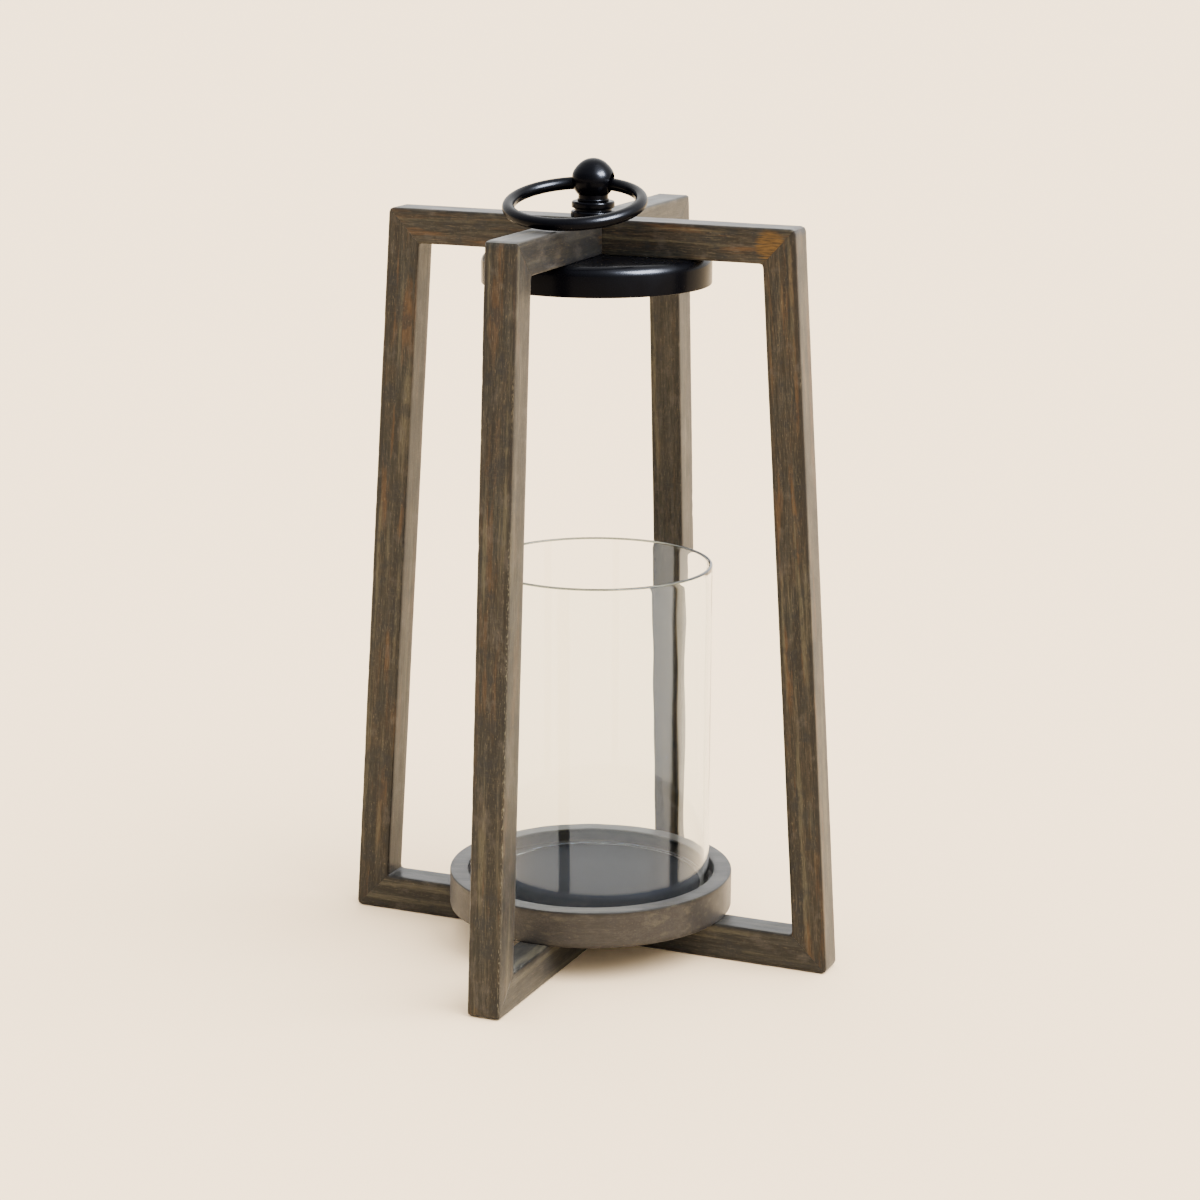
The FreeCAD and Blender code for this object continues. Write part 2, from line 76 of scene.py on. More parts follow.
def add(tree, kind, inputs, **settings):
    """Adds a node. Each input is a number, a colour, or the output that it is linked from."""
    node = tree.nodes.new("ShaderNode" + kind)
    for name, value in settings.items():
        setattr(node, name, value)
    for name, value in inputs.items():
        if isinstance(value, bpy.types.NodeSocket):
            tree.links.new(value, node.inputs[name])
        else:
            node.inputs[name].default_value = value
    return node


def new_material(name):
    material = bpy.data.materials.new(name)
    material.use_nodes = True
    material.node_tree.nodes.clear()
    return material, material.node_tree


def finish_material(tree, surface):
    add(tree, "OutputMaterial", {"Surface": surface.outputs["BSDF"]})


# Each pattern in the stained wood: how long and how wide its marks are in millimetres, how much
# fine detail it has, and how rough that is. The pores are really about 0.2 mm wide, and the
# fibres are drawn twice as wide so that they show.
GRAIN_PATTERNS = {
    "streaks": (26, 1.3, 4, 0.55),
    "fibres": (6, 0.42, 2, 0.55),
    "light_bands": (110, 5, 3, 0.55),
    "dark_bands": (140, 6, 3, 0.55),
    "warm_bands": (60, 6, 3, 0.55),
    "blotches": (26, 12, 4, 0.55),
    "clouds": (16, 12, 5, 0.60),
    "saw_marks": (0.8, 6, 2, 0.55),
    "specks": (2.4, 0.7, 2, 0.55),
    "rubbed": (34, 20, 3, 0.55),
}

# Each coat of stain, from the first, and last a coat of painted shade along the arrises: its colour,
# how strong it is, and where it shows. A place is a pattern or a stored value, with the number where
# the coat is absent and the one where it is full.
BROWNER = ("tone", -0.2, 1.0)
STAIN_AND_SHADE_COATS = [
    ("#46301a", 0.75, [("warm_bands", 0.52, 0.66), BROWNER]),
    ("#4e4938", 0.50, [("light_bands", 0.52, 0.66)]),
    ("#100f0e", 0.85, [("dark_bands", 0.50, 0.38)]),
    ("#111419", 0.60, [("clouds", 0.48, 0.36)]),
    ("#47423d", 0.30, [("clouds", 0.54, 0.68)]),
    ("#0c0b09", 0.48, [("fibres", 0.50, 0.34)]),
    ("#544c3b", 0.36, [("fibres", 0.56, 0.72)]),
    ("#6b6046", 0.34, [("specks", 0.60, 0.74), ("streaks", 0.40, 0.60)]),
    ("#4b4432", 0.10, [("saw_marks", 0.56, 0.70)]),
    ("#3a3634", 0.55, [("tone", 0.1, -0.9)]),
    ("#110e0b", 0.70, [("arris", 3.6, 1.0), ("clouds", 0.70, 0.36)]),
    # Painted shade, not stain: a thin darker line right along each arris, as an arris turned from the light
    # shows.
    ("#0e0b08", 0.70, [("arris", 1.2, 0.5)]),
]


def make_stained_hardwood():
    """Mango wood, planed, stained black-brown, rubbed back and waxed. The stain lies unevenly,
    so warm and olive wood shows through it in streaks, it gathers in dark lines beside arrises
    that are rubbed pale in places, and the wax gives a grey sheen at a low angle. A thin darker
    line right along each arris is painted shade."""
    material, tree = new_material("stained_hardwood_rubbed_back")
    grain = add(tree, "Attribute", {}, attribute_name="grain").outputs["Vector"]
    values = {}
    for name in WEAR_VALUES:
        values[name] = add(tree, "Attribute", {}, attribute_name=name).outputs["Fac"]
    for name, (along, across, detail, roughness) in GRAIN_PATTERNS.items():
        scale = (1 / mm(along), 1 / mm(across), 1 / mm(across))
        stretched = add(tree, "Mapping", {"Vector": grain, "Scale": scale}).outputs["Vector"]
        inputs = {"Vector": stretched, "Scale": 1, "Detail": detail, "Roughness": roughness}
        values[name] = add(tree, "TexNoise", inputs).outputs["Fac"]

    def cover(strength, places):
        """How much a coat covers: its strength, eased in from 0 to 1 at each of its places."""
        for name, absent, full in places:
            inputs = {"Value": values[name], "From Min": absent, "From Max": full}
            eased = add(tree, "MapRange", inputs, interpolation_type="SMOOTHSTEP")
            inputs = {0: eased.outputs["Result"], 1: strength}
            strength = add(tree, "Math", inputs, operation="MULTIPLY").outputs["Value"]
        return strength

    def lay_coat(under, coat, strength, places):
        inputs = {"Factor": cover(strength, places), COLOUR_A: under, COLOUR_B: coat}
        return add(tree, "Mix", inputs, data_type="RGBA").outputs[COLOUR_OUT]

    warm_places = [("blotches", 0.34, 0.66), BROWNER]
    body = lay_coat(colour("#252421"), colour("#2b231b"), 1, warm_places)
    dark = lay_coat(colour("#13130f"), colour("#17120b"), 1, warm_places)
    wood = lay_coat(dark, body, 1, [("streaks", 0.32, 0.64)])
    for code, strength, places in STAIN_AND_SHADE_COATS:
        wood = lay_coat(wood, colour(code), strength, places)

    ragged = cover(0.40, [("rubbed", 0.34, 0.60), ("streaks", 0.34, 0.56)])
    inputs = {0: values["bare"], 1: 0.75, 2: ragged}
    values["bare_ragged"] = add(tree, "Math", inputs, operation="MULTIPLY_ADD").outputs["Value"]
    bare_wood = lay_coat(colour("#2f2109"), colour("#503916"), 1, [("fibres", 0.36, 0.60)])
    wood = lay_coat(wood, bare_wood, 1, [("bare_ragged", 0.50, 1.05), ("bare", 0.02, 0.30)])
    worn_places = [("arris", 1.7, 0.3), ("rubbed", 0.50, 0.68), ("specks", 0.44, 0.60)]
    wood = lay_coat(wood, colour("#5c533d"), 0.60, worn_places)
    inputs = {0: values["scuff"], 1: 0.50}
    chalk = add(tree, "Math", inputs, operation="MULTIPLY").outputs["Value"]
    wood = lay_coat(wood, colour("#746e5a"), chalk, [("specks", 0.53, 0.66)])

    relief = 0
    for name, height in (("streaks", 0.5), ("fibres", 0.5), ("specks", 0.25)):
        inputs = {0: values[name], 1: height, 2: relief}
        relief = add(tree, "Math", inputs, operation="MULTIPLY_ADD").outputs["Value"]
    bump = add(tree, "Bump", {"Strength": 0.5, "Distance": mm(0.2), "Height": relief})
    inputs = {"Value": values["blotches"], "From Min": 0.3, "From Max": 0.7, "To Min": 0.46, "To Max": 0.34}
    gloss = add(tree, "MapRange", inputs)
    inputs = {
        "Base Color": wood,
        "Roughness": gloss.outputs["Result"],
        "Specular IOR Level": 0.22,
        "Sheen Weight": 0.06,
        "Sheen Roughness": 0.45,
        "Sheen Tint": colour("#d3d8e2"),
        "Normal": bump.outputs["Normal"],
    }
    finish_material(tree, add(tree, "BsdfPrincipled", inputs))
    return material


def make_black_enamel():
    """Steel and cast zinc under satin black stoving enamel: a deep black with soft, slightly blue
    highlights, and a faint orange peel. The dust specks in it are drawn near 1 mm so that they
    show."""
    material, tree = new_material("satin_black_stoving_enamel")
    place = add(tree, "TexCoord", {}).outputs["Object"]
    peel = add(tree, "TexNoise", {"Vector": place, "Scale": 1 / mm(2.2), "Detail": 2})
    cloud = add(tree, "TexNoise", {"Vector": place, "Scale": 1 / mm(18), "Detail": 3})
    dust = add(tree, "TexNoise", {"Vector": place, "Scale": 1 / mm(0.9), "Detail": 1})
    bump = add(tree, "Bump", {"Strength": 0.25, "Distance": mm(0.05), "Height": peel.outputs["Fac"]})
    clouds = cloud.outputs["Fac"]
    inputs = {"Value": clouds, "From Min": 0.3, "From Max": 0.7, "To Min": 0.23, "To Max": 0.28}
    gloss = add(tree, "MapRange", inputs)
    flecks = {"Value": dust.outputs["Fac"], "From Min": 0.62, "From Max": 0.80, "To Max": 0.35}
    fleck = add(tree, "MapRange", flecks)
    mix = {"Factor": fleck.outputs["Result"], COLOUR_A: colour("#020204"), COLOUR_B: colour("#06070a")}
    paint = add(tree, "Mix", mix, data_type="RGBA")
    inputs = {
        "Base Color": paint.outputs[COLOUR_OUT],
        "Roughness": gloss.outputs["Result"],
        "Specular IOR Level": 0.04,
        "Specular Tint": colour("#dfe8ff"),
        "Normal": bump.outputs["Normal"],
    }
    finish_material(tree, add(tree, "BsdfPrincipled", inputs))
    return material


def make_plate_enamel():
    """A thin steel disc, powder coated dark grey: smooth, and satin enough to mirror a bright room
    faintly at a low angle."""
    material, tree = new_material("grey_powder_coat")
    place = add(tree, "TexCoord", {}).outputs["Object"]
    smears = add(tree, "TexNoise", {"Vector": place, "Scale": 1 / mm(30), "Detail": 4})
    smear = smears.outputs["Fac"]
    inputs = {"Value": smear, "From Min": 0.3, "From Max": 0.7, "To Min": 0.23, "To Max": 0.27}
    gloss = add(tree, "MapRange", inputs)
    mix = {"Factor": smear, COLOUR_A: colour("#27282c"), COLOUR_B: colour("#2c2d31")}
    paint = add(tree, "Mix", mix, data_type="RGBA")
    inputs = {
        "Base Color": paint.outputs[COLOUR_OUT],
        "Roughness": gloss.outputs["Result"],
        "Specular IOR Level": 0.002,
        "Specular Tint": colour("#dfe6f5"),
    }
    finish_material(tree, add(tree, "BsdfPrincipled", inputs))
    return material


def make_zinc_steel():
    """Steel fasteners, cold headed and zinc plated: a pale, slightly cloudy grey metal."""
    material, tree = new_material("zinc_plated_steel")
    place = add(tree, "TexCoord", {}).outputs["Object"]
    spangle = add(tree, "TexNoise", {"Vector": place, "Scale": 1 / mm(1.5), "Detail": 3})
    spangles = spangle.outputs["Fac"]
    inputs = {"Value": spangles, "From Min": 0.3, "From Max": 0.7, "To Min": 0.28, "To Max": 0.45}
    gloss = add(tree, "MapRange", inputs)
    mix = {"Factor": spangles, COLOUR_A: colour("#a7aaac"), COLOUR_B: colour("#c6c9ca")}
    plating = add(tree, "Mix", mix, data_type="RGBA")
    inputs = {
        "Base Color": plating.outputs[COLOUR_OUT],
        "Metallic": 1,
        "Roughness": gloss.outputs["Result"],
    }
    finish_material(tree, add(tree, "BsdfPrincipled", inputs))
    return material


def make_clear_glass():
    """Soda-lime glass, drawn into a tube and fire polished: clear, with a trace of green, cool
    reflections, and faint lines along the draw."""
    material, tree = new_material("clear_drawn_glass")
    place = add(tree, "TexCoord", {}).outputs["Object"]
    draw_lines = add(tree, "Mapping", {"Vector": place, "Scale": (1 / mm(9), 1 / mm(9), 1 / mm(90))})
    lines = add(tree, "TexNoise", {"Vector": draw_lines.outputs["Vector"], "Scale": 1, "Detail": 2})
    bump = add(tree, "Bump", {"Strength": 0.2, "Distance": mm(0.03), "Height": lines.outputs["Fac"]})
    inputs = {
        "Base Color": colour("#fbfdfc"),
        "Specular IOR Level": 0.85,
        "Specular Tint": colour("#b8d0ff"),
        "Roughness": 0.0,
        "IOR": 1.5,
        "Transmission Weight": 1,
        "Normal": bump.outputs["Normal"],
    }
    finish_material(tree, add(tree, "BsdfPrincipled", inputs))
    return material


def make_glass_rim_painted_shade():
    """The fire-polished top rim of the same glass, tinted a dark grey-green as painted shade: the dark line
    that reflections draw along the rim seen edge on.
    """
    material, tree = new_material("clear_glass_rim_painted_shade")
    place = add(tree, "TexCoord", {}).outputs["Object"]
    ripple = add(tree, "TexNoise", {"Vector": place, "Scale": 1 / mm(6), "Detail": 2})
    bump = add(tree, "Bump", {"Strength": 0.2, "Distance": mm(0.05), "Height": ripple.outputs["Fac"]})
    inputs = {
        "Base Color": colour("#2f3836"),
        "Roughness": 0.0,
        "IOR": 1.5,
        "Transmission Weight": 1,
        "Normal": bump.outputs["Normal"],
    }
    finish_material(tree, add(tree, "BsdfPrincipled", inputs))
    return material


def make_beech():
    """Turned beech dowel: pale pinkish wood with fine flecks along the grain."""
    material, tree = new_material("beech_dowel_turned")
    place = add(tree, "TexCoord", {}).outputs["Object"]
    flecks = add(tree, "TexNoise", {"Vector": place, "Scale": 1 / mm(1.2), "Detail": 4})
    mix = {"Factor": flecks.outputs["Fac"], COLOUR_A: colour("#b98d62"), COLOUR_B: colour("#d8b184")}
    wood = add(tree, "Mix", mix, data_type="RGBA")
    inputs = {"Base Color": wood.outputs[COLOUR_OUT], "Roughness": 0.6}
    finish_material(tree, add(tree, "BsdfPrincipled", inputs))
    return material


STAINED_HARDWOOD = make_stained_hardwood()
BLACK_ENAMEL = make_black_enamel()
PLATE_ENAMEL = make_plate_enamel()
ZINC_STEEL = make_zinc_steel()
CLEAR_GLASS = make_clear_glass()
GLASS_RIM_PAINTED_SHADE = make_glass_rim_painted_shade()
BEECH = make_beech()


# Making pieces

SHARP_ANGLE = math.radians(32)
WELD = mm(0.001)
TOUCHING = mm(0.01)
CORNER_SEGMENTS = 6


def finish_piece(bm, node, body, material):
    """Writes the mesh, and stands it in for its CAD node."""
    mesh = bpy.data.meshes.new(node + "_looks")
    bm.to_mesh(mesh)
    bm.free()
    mesh.shade_smooth()
    mesh.set_sharp_from_angle(angle=SHARP_ANGLE)
    mesh.materials.append(material)
    piece = bpy.data.objects.new(node + "_looks", mesh)
    bpy.context.scene.collection.objects.link(piece)
    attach(piece, body)
    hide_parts(node)
    return piece


def move(bm, matrix, verts=None):
    bmesh.ops.transform(bm, matrix=matrix, verts=verts or bm.verts[:])


def verts_of(items):
    return [item for item in items if isinstance(item, bmesh.types.BMVert)]


def draw_half_section(bm, corners, closed=True):
    """An outline in the XZ plane. A corner is (radius, height), or with a third number that
    rounds it."""
    verts = [bm.verts.new((corner[0], 0, corner[1])) for corner in corners]
    edges = [bm.edges.new(pair) for pair in zip(verts, verts[1:])]
    if closed:
        edges.append(bm.edges.new((verts[-1], verts[0])))
    for vert, corner in zip(verts, corners):
        if len(corner) == 3:
            bmesh.ops.bevel(
                bm,
                geom=[vert],
                offset=corner[2],
                offset_type="OFFSET",
                affect="VERTICES",
                segments=CORNER_SEGMENTS,
                profile=0.5,
                material=-1,
            )


def spin_round(bm, steps=128):
    """Turns everything in the mesh once about Z and closes it."""
    bmesh.ops.spin(
        bm,
        geom=bm.verts[:] + bm.edges[:],
        cent=(0, 0, 0),
        axis=(0, 0, 1),
        dvec=(0, 0, 0),
        angle=2 * math.pi,
        steps=steps,
        use_merge=True,
        use_duplicate=False,
    )
    bmesh.ops.remove_doubles(bm, verts=bm.verts[:], dist=WELD)
    bmesh.ops.recalc_face_normals(bm, faces=bm.faces[:])


def turned(corners, steps=128, closed=True):
    bm = bmesh.new()
    draw_half_section(bm, corners, closed)
    spin_round(bm, steps)
    return bm


def move_over(bm, node):
    """Moves a turned piece from the Z axis to its CAD node's own axis."""
    low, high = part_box(node)
    centre = (low + high) / 2
    move(bm, Matrix.Translation((centre.x, centre.y, 0)))


# The wooden members

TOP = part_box("frame_a_top_rail")[1].z
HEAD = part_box("frame_a_top_rail")[0].z
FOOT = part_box("frame_a_bottom_rail")[1].z
FOOT_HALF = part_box("frame_a_bottom_rail")[1].x
TOP_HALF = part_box("frame_a_top_rail")[1].x
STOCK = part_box("frame_a_right_leg")[1].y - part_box("frame_a_right_leg")[0].y
LEG_DEPTH = FOOT_HALF + (TOP_HALF - FOOT_HALF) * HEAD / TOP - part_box("frame_a_right_leg")[0].x
TRAY_LOW, TRAY_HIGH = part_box("tray")
TRAY_RADIUS = (TRAY_HIGH.x - TRAY_LOW.x) / 2
ARRIS = mm(1.2)
ARRIS_SEGMENTS = 3
MITRE_EASE = mm(0.08)
CUTS_ACROSS = 7
CUT_SPACING = mm(2.6)
OUTER_CORNER = mm(3)
OUTER_REACH = OUTER_CORNER * 1.001
INNER_CORNER = mm(2)
INNER_REACH = INNER_CORNER * 3

# How uneven the planed wood is: gentle waves and finer ripples, each with its length along the
# grain and its width across it, and chips out of the arrises where their noise is high enough.
# Each board is cut one step further along the tree than the last, so no two have the same grain.
UNEVENNESS = mm(0.16)
WAVE = (mm(45), mm(30))
WAVE_SHARE = 0.7
RIPPLE = (mm(8), mm(5))
RIPPLE_SHARE = 0.3
CHIP = (mm(7), mm(9))
CHIP_DEPTH = mm(0.55)
CHIP_FROM = 0.18
BOARD_STEP = Vector((1.7, 0.61, 0.37))


def outer(level):
    """Half the frame's outer width at a level."""
    return FOOT_HALF + (TOP_HALF - FOOT_HALF) * level / TOP


def inner(level):
    return outer(level) - LEG_DEPTH


def round_corner(point, centre, first, second, radius, reach):
    """Pulls a point near a square corner on to its arc, less and less as far as the reach."""
    offset = point - centre
    towards_first = offset.dot(first)
    towards_second = offset.dot(second)
    across = max(towards_first, towards_second)
    if min(towards_first, towards_second) <= 0 or across > reach:
        return point
    share = 1 if across <= radius else 1 - (across - radius) / (reach - radius)
    flat = Vector((offset.x, 0, offset.z))
    rounded = flat * (across / flat.length)
    return point + (rounded - flat) * share


def ease_frame_corners(bm):
    """Rounds the outer corners of a frame, and fills its inner corners a little."""
    leg_out = Vector((TOP, 0, FOOT_HALF - TOP_HALF)).normalized()
    lean = math.sqrt(1 + (leg_out.z / leg_out.x) ** 2)
    for vert in bm.verts:
        side = 1 if vert.co.x >= 0 else -1
        point = Vector((vert.co.x * side, vert.co.y, vert.co.z))
        for level, inner_level, up in ((TOP, HEAD, 1), (0, FOOT, -1)):
            vertical = Vector((0, 0, up))
            height = level - up * OUTER_CORNER
            centre = Vector((outer(height) - OUTER_CORNER * lean, 0, height))
            point = round_corner(point, centre, leg_out, vertical, OUTER_CORNER, OUTER_REACH)
            height = inner_level - up * INNER_CORNER
            centre = Vector((inner(height) - INNER_CORNER * lean, 0, height))
            point = round_corner(point, centre, leg_out, vertical, INNER_CORNER, INNER_REACH)
        vert.co = (point.x * side, point.y, point.z)


def cut_lap(bm, from_above, low, high):
    """Saws half a lap out of the middle of a rail."""
    half = STOCK / 2
    for x in (-half, half):
        bmesh.ops.bisect_plane(
            bm,
            geom=bm.verts[:] + bm.edges[:] + bm.faces[:],
            dist=WELD,
            plane_co=(x, 0, 0),
            plane_no=(1, 0, 0),
        )
    centre = (low + high) / 2
    stretch = [face for face in bm.faces if abs(face.calc_center_median().x) < half]
    edges = {edge for face in stretch for edge in face.edges}
    verts = {vert for face in stretch for vert in face.verts}
    bmesh.ops.bisect_plane(
        bm,
        geom=stretch + list(edges) + list(verts),
        dist=WELD,
        plane_co=(0, 0, centre),
        plane_no=(0, 0, 1),
    )
    sign = 1 if from_above else -1
    waste = [
        face
        for face in bm.faces
        if abs(face.calc_center_median().x) < half and (face.calc_center_median().z - centre) * sign > 0
    ]
    bmesh.ops.delete(bm, geom=waste, context="FACES")
    open_edges = [edge for edge in bm.edges if edge.is_boundary]

    def on_wall(vert, x):
        return abs(vert.co.x - x) < TOUCHING

    def on_shelf(vert):
        return abs(vert.co.z - centre) < TOUCHING

    open_verts = {vert for edge in open_edges for vert in edge.verts}
    corners = []
    for x in (-half, half):
        corners.append(bm.edges.new([vert for vert in open_verts if on_wall(vert, x) and on_shelf(vert)]))
    for x, corner in zip((-half, half), corners):
        wall = [edge for edge in open_edges if all(on_wall(vert, x) for vert in edge.verts)]
        bmesh.ops.edgeloop_fill(bm, edges=wall + [corner])
    shelf = [edge for edge in open_edges if all(on_shelf(vert) for vert in edge.verts)]
    bmesh.ops.edgeloop_fill(bm, edges=shelf + corners)


def plane_member(outer_line, inner_line, lap=None):
    """A straight member from its outer and inner lines in the frame's plane: sawn to its mitres,
    its arrises rounded, and cut into a fine grid that the wear can move."""
    bm = bmesh.new()
    points = [outer_line[0], outer_line[1], inner_line[1], inner_line[0]]
    verts = [bm.verts.new((x, -STOCK / 2, z)) for x, z in points]
    face = bm.faces.new(verts)
    raised = bmesh.ops.extrude_face_region(bm, geom=[face])["geom"]
    move(bm, Matrix.Translation((0, STOCK, 0)), verts_of(raised))
    bmesh.ops.recalc_face_normals(bm, faces=bm.faces[:])
    direction = (Vector(outer_line[1]) - Vector(outer_line[0])).normalized()
    axis = Vector((direction.x, 0, direction.y))

    def runs_along(edge):
        return abs((edge.verts[1].co - edge.verts[0].co).normalized().dot(axis)) > 0.999

    def ease(edges, width, segments):
        bmesh.ops.bevel(
            bm,
            geom=edges,
            offset=width,
            offset_type="OFFSET",
            affect="EDGES",
            segments=segments,
            profile=0.5,
            material=-1,
            clamp_overlap=True,
        )

    ease([edge for edge in bm.edges if runs_along(edge)], ARRIS, ARRIS_SEGMENTS)
    wide = [edge for edge in bm.edges if not runs_along(edge) and edge.calc_length() > STOCK / 2]
    bmesh.ops.subdivide_edges(bm, edges=wide, cuts=CUTS_ACROSS, use_grid_fill=True)
    ends = {edge for face in bm.faces if len(face.verts) > 4 for edge in face.edges}
    ease(list(ends), MITRE_EASE, 1)
    if lap:
        low, high = sorted((outer_line[0][1], inner_line[0][1]))
        cut_lap(bm, lap == "from_above", low, high)
    long_edges = [edge for edge in bm.edges if runs_along(edge) and edge.calc_length() > STOCK / 2]
    lengths = {edge: edge.calc_length() for edge in long_edges}
    short = [edge for edge in long_edges if lengths[edge] < 2 * STOCK]
    full = [edge for edge in long_edges if lengths[edge] >= 2 * STOCK]
    if short:
        bmesh.ops.subdivide_edges(bm, edges=short, cuts=round(STOCK / CUT_SPACING), use_grid_fill=True)
    mean = sum(lengths[edge] for edge in full) / len(full)
    bmesh.ops.subdivide_edges(bm, edges=full, cuts=round(mean / CUT_SPACING), use_grid_fill=True)
    return bm, axis


def new_wood_layers(bm):
    """What the stained wood's material reads at every point."""
    layers = {name: bm.verts.layers.float.new(name) for name in WEAR_VALUES}
    layers["grain"] = bm.verts.layers.float_vector.new("grain")
    return layers


def noise_at(spot, size):
    """Smooth noise at a place in the grain, its features this long along and this wide across."""
    along, across = size
    return noise.noise(Vector((spot.x / along, spot.y / across, spot.z / across)))


def wear_member(bm, axis, origin, number, tone, patches, heading):
    """Stores where each point lies along and across the grain, and how far it is from an arris.
    Then it moves the surface a little: planing marks, soft dents and chipped arrises."""
    layers = new_wood_layers(bm)
    across = Vector((axis.z, 0, -axis.x))
    bm.normal_update()
    depths = [(vert.co - origin).dot(across) for vert in bm.verts]
    shallow = min(depths)
    deep = max(depths)
    turned_to = Matrix.Rotation(math.radians(heading), 4, "Z")
    shifts = {}
    for vert in bm.verts:
        along = (vert.co - origin).dot(axis)
        depth = (vert.co - origin).dot(across)
        spot = Vector((along, vert.co.y, depth)) + BOARD_STEP * number
        edge = (STOCK / 2 - abs(vert.co.y)) + min(depth - shallow, deep - depth)
        place = turned_to @ vert.co
        vert[layers["grain"]] = spot
        vert[layers["arris"]] = edge / mm(1)
        vert[layers["tone"]] = tone
        vert[layers["scuff"]] = scuff_at(place, edge)
        vert[layers["bare"]] = max([0] + [patch_at(place, *patch) for patch in patches])
        if any(abs(face.normal.dot(axis)) > 0.5 for face in vert.link_faces):
            continue
        shift = UNEVENNESS * (WAVE_SHARE * noise_at(spot, WAVE) + RIPPLE_SHARE * noise_at(spot, RIPPLE))
        if edge < ARRIS:
            shift -= CHIP_DEPTH * max(0, noise_at(spot, CHIP) - CHIP_FROM)
        shifts[vert] = vert.normal * shift
    for vert, shift in shifts.items():
        vert.co += shift


def patch_at(place, centre, radius, strength):
    """How bare a point is, in a rubbed patch of this radius."""
    near = 1 - (place - Vector(centre)).length / radius
    return max(0, min(1, near * 2)) * strength


SCUFF = 0.9
SCUFF_WIDTH = mm(1.6)
SCUFF_HEIGHT = mm(0.6)
SPECKS_TO_HEIGHT = mm(300)
SPECKS_TO_FACE = mm(3)
SPECKS_TO_SIDE = mm(2)


def scuff_at(place, edge):
    """Pale scuffs: a line of old glue round the tray's foot, and a speckled line down the right
    arris of the front leg."""
    from_tray = abs(place.xy.length - TRAY_RADIUS)
    if abs(place.z - FOOT) < SCUFF_HEIGHT and from_tray < SCUFF_WIDTH:
        return SCUFF * (1 - from_tray / SCUFF_WIDTH)
    front_right = place.y < SPECKS_TO_FACE - outer(place.z) and place.x > STOCK / 2 - SPECKS_TO_SIDE
    if front_right and edge < ARRIS and place.z < SPECKS_TO_HEIGHT:
        return SCUFF
    return 0


# Each kind of member: the two ends of its outer line, then those of its inner line.
LEG = (((outer(0), 0), (outer(TOP), TOP)), ((inner(FOOT), FOOT), (inner(HEAD), HEAD)))
TOP_RAIL = (((-outer(TOP), TOP), (outer(TOP), TOP)), ((-inner(HEAD), HEAD), (inner(HEAD), HEAD)))
BOTTOM_RAIL = (((-outer(0), 0), (outer(0), 0)), ((-inner(FOOT), FOOT), (inner(FOOT), FOOT)))

# The rubbed patches: where the middle of each one is, its radius and how bare it is.
MITRE_PATCH = ((inner(HEAD) + mm(5), -STOCK / 2, HEAD + mm(11)), mm(13), 1)
CROSSING_PATCH = ((STOCK / 2 + mm(6), -STOCK / 2, HEAD + mm(10)), mm(12), 0.55)
LAP_PATCH = ((STOCK / 2, -STOCK / 2 - mm(2), HEAD + mm(10)), mm(8), 0.5)
FOOT_PATCH = ((-STOCK / 2 + mm(3), -FOOT_HALF, mm(4)), mm(7), 0.4)

# Name, outline, heading in degrees, where its lap is sawn from, how warm its wood is, and patches.
MEMBERS = [
    ("frame_a_right_leg", LEG, 0, None, 0.85, []),
    ("frame_b_back_leg", LEG, 90, None, 0.25, []),
    ("frame_a_left_leg", LEG, 180, None, 0.7, []),
    ("frame_b_front_leg", LEG, 270, None, 0.45, [FOOT_PATCH]),
    ("frame_a_bottom_rail", BOTTOM_RAIL, 0, "from_above", -0.1, []),
    ("frame_b_bottom_rail", BOTTOM_RAIL, 90, "from_below", -0.1, []),
    ("frame_a_top_rail", TOP_RAIL, 0, "from_below", 1.0, [MITRE_PATCH, CROSSING_PATCH]),
    ("frame_b_top_rail", TOP_RAIL, 90, "from_above", 0.1, [LAP_PATCH]),
]


def make_member(number, node, lines, heading, lap, tone, patches):
    bm, axis = plane_member(*lines, lap)
    first_corner = lines[0][0]
    origin = Vector((first_corner[0], 0, first_corner[1]))
    ease_frame_corners(bm)
    wear_member(bm, axis, origin, number, tone, patches, heading)
    move(bm, Matrix.Rotation(math.radians(heading), 4, "Z"))
    finish_piece(bm, node, "lantern", STAINED_HARDWOOD)


for number, member in enumerate(MEMBERS, 1):
    make_member(number, *member)


# The tray and what stands in it

RECESS_RADIUS = mm(80)
RECESS_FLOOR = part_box("glass_cylinder")[0].z
TRAY_EASE = mm(0.9)
RECESS_FILLET = mm(0.8)
TRAY_CUT = mm(3)
TRAY_STEPS = 220
TRAY_GRAIN_HEADING = math.radians(23)
TRAY_BOARD = Vector((19.3, 7.1, 3.9))
TRAY_TONE = -0.6
TRAY_WAVE = (mm(28), mm(28))
TRAY_UNEVENNESS = UNEVENNESS * 0.6


